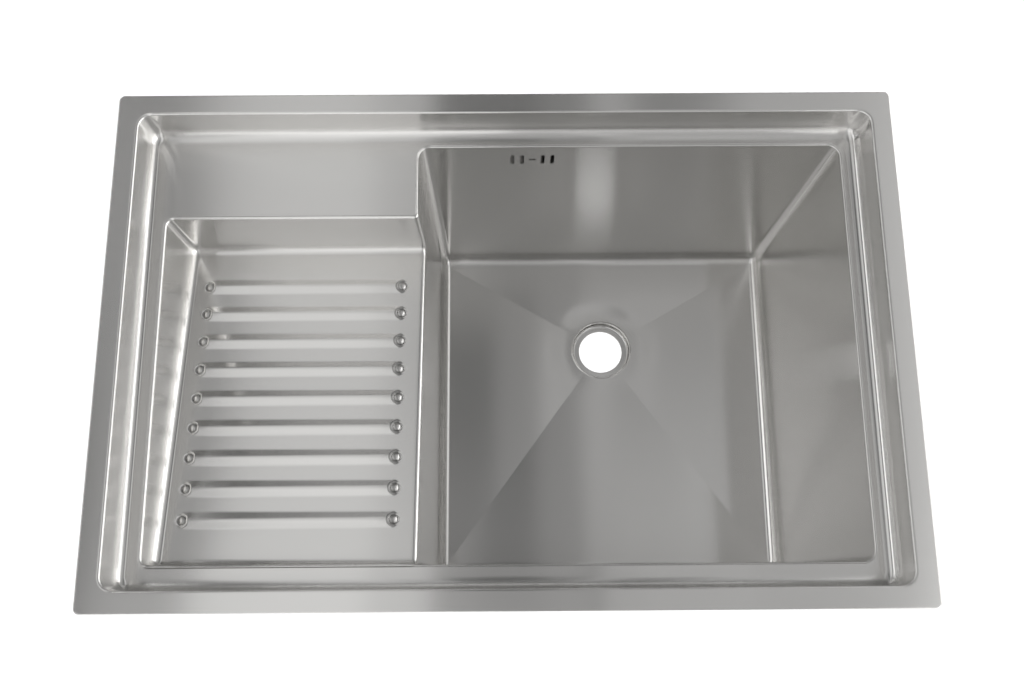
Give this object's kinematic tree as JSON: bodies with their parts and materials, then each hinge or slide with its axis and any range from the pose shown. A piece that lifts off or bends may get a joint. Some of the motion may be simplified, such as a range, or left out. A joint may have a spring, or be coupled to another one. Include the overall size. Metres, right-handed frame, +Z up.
{
  "type": "laundry sink",
  "caption": "Inset stainless laundry sink: stepped rim, sloping ribbed washboard tray beside a deep square bowl, overflow, and swinging clamps that hold it in a worktop.",
  "frame": {"origin": "centre of the rim's outline, on the worktop plane, which is the underside of the rim seal", "axes": "+X runs along the rim from the washboard to the bowl, +Y from the user to the wall behind the sink, and +Z up out of the worktop"},
  "size_m": [0.68, 0.45, 0.2602],
  "materials": {
    "sink_steel": "satin brushed",
    "plated_steel": "zinc plated",
    "foam_seal": "closed-cell foam",
    "sound_pad": "matte"
  },
  "bodies": {
    "sink": {"deck": "sink_steel", "washboard": "sink_steel", "bowl": "sink_steel", "overflow_box": "sink_steel", "overflow_spigot": "sink_steel", "stiffener_left": "sink_steel", "stiffener_right": "sink_steel", "rim_seal": "foam_seal", "pad_left": "sound_pad", "pad_right": "sound_pad", "pad_front": "sound_pad", "pad_back": "sound_pad", "pad_floor_front": "sound_pad", "pad_floor_left": "sound_pad", "pad_floor_right": "sound_pad", "clip_brackets": "plated_steel", "clip_nuts": "plated_steel"},
    "clip_front_left": {"screw_front_left": "plated_steel"},
    "grip_front_left": {"claw_front_left": "plated_steel"},
    "clip_front_right": {"screw_front_right": "plated_steel"},
    "grip_front_right": {"claw_front_right": "plated_steel"},
    "clip_right": {"screw_right": "plated_steel"},
    "grip_right": {"claw_right": "plated_steel"},
    "clip_back_right": {"screw_back_right": "plated_steel"},
    "grip_back_right": {"claw_back_right": "plated_steel"},
    "clip_back_left": {"screw_back_left": "plated_steel"},
    "grip_back_left": {"claw_back_left": "plated_steel"},
    "clip_left": {"screw_left": "plated_steel"},
    "grip_left": {"claw_left": "plated_steel"}
  },
  "joints": [
    {"name": "clip_front_left_raise", "type": "slide", "parent": "sink", "child": "clip_front_left", "axis": [0, 0, 1], "range_m": [0, 0.015]},
    {"name": "clip_front_left_swing", "type": "hinge", "parent": "clip_front_left", "child": "grip_front_left", "pos_m": [-0.2, -0.2015, -0.065], "axis": [0, 0, 1], "range_deg": [0, 180]},
    {"name": "clip_front_right_raise", "type": "slide", "parent": "sink", "child": "clip_front_right", "axis": [0, 0, 1], "range_m": [0, 0.015]},
    {"name": "clip_front_right_swing", "type": "hinge", "parent": "clip_front_right", "child": "grip_front_right", "pos_m": [0.2, -0.2015, -0.065], "axis": [0, 0, 1], "range_deg": [0, 180]},
    {"name": "clip_right_raise", "type": "slide", "parent": "sink", "child": "clip_right", "axis": [0, 0, 1], "range_m": [0, 0.015]},
    {"name": "clip_right_swing", "type": "hinge", "parent": "clip_right", "child": "grip_right", "pos_m": [0.3165, 0, -0.065], "axis": [0, 0, 1], "range_deg": [0, 180]},
    {"name": "clip_back_right_raise", "type": "slide", "parent": "sink", "child": "clip_back_right", "axis": [0, 0, 1], "range_m": [0, 0.015]},
    {"name": "clip_back_right_swing", "type": "hinge", "parent": "clip_back_right", "child": "grip_back_right", "pos_m": [0.2, 0.2015, -0.065], "axis": [0, 0, 1], "range_deg": [0, 180]},
    {"name": "clip_back_left_raise", "type": "slide", "parent": "sink", "child": "clip_back_left", "axis": [0, 0, 1], "range_m": [0, 0.015]},
    {"name": "clip_back_left_swing", "type": "hinge", "parent": "clip_back_left", "child": "grip_back_left", "pos_m": [-0.2, 0.2015, -0.065], "axis": [0, 0, 1], "range_deg": [0, 180]},
    {"name": "clip_left_raise", "type": "slide", "parent": "sink", "child": "clip_left", "axis": [0, 0, 1], "range_m": [0, 0.015]},
    {"name": "clip_left_swing", "type": "hinge", "parent": "clip_left", "child": "grip_left", "pos_m": [-0.3165, 0, -0.065], "axis": [0, 0, 1], "range_deg": [0, 180]}
  ]
}
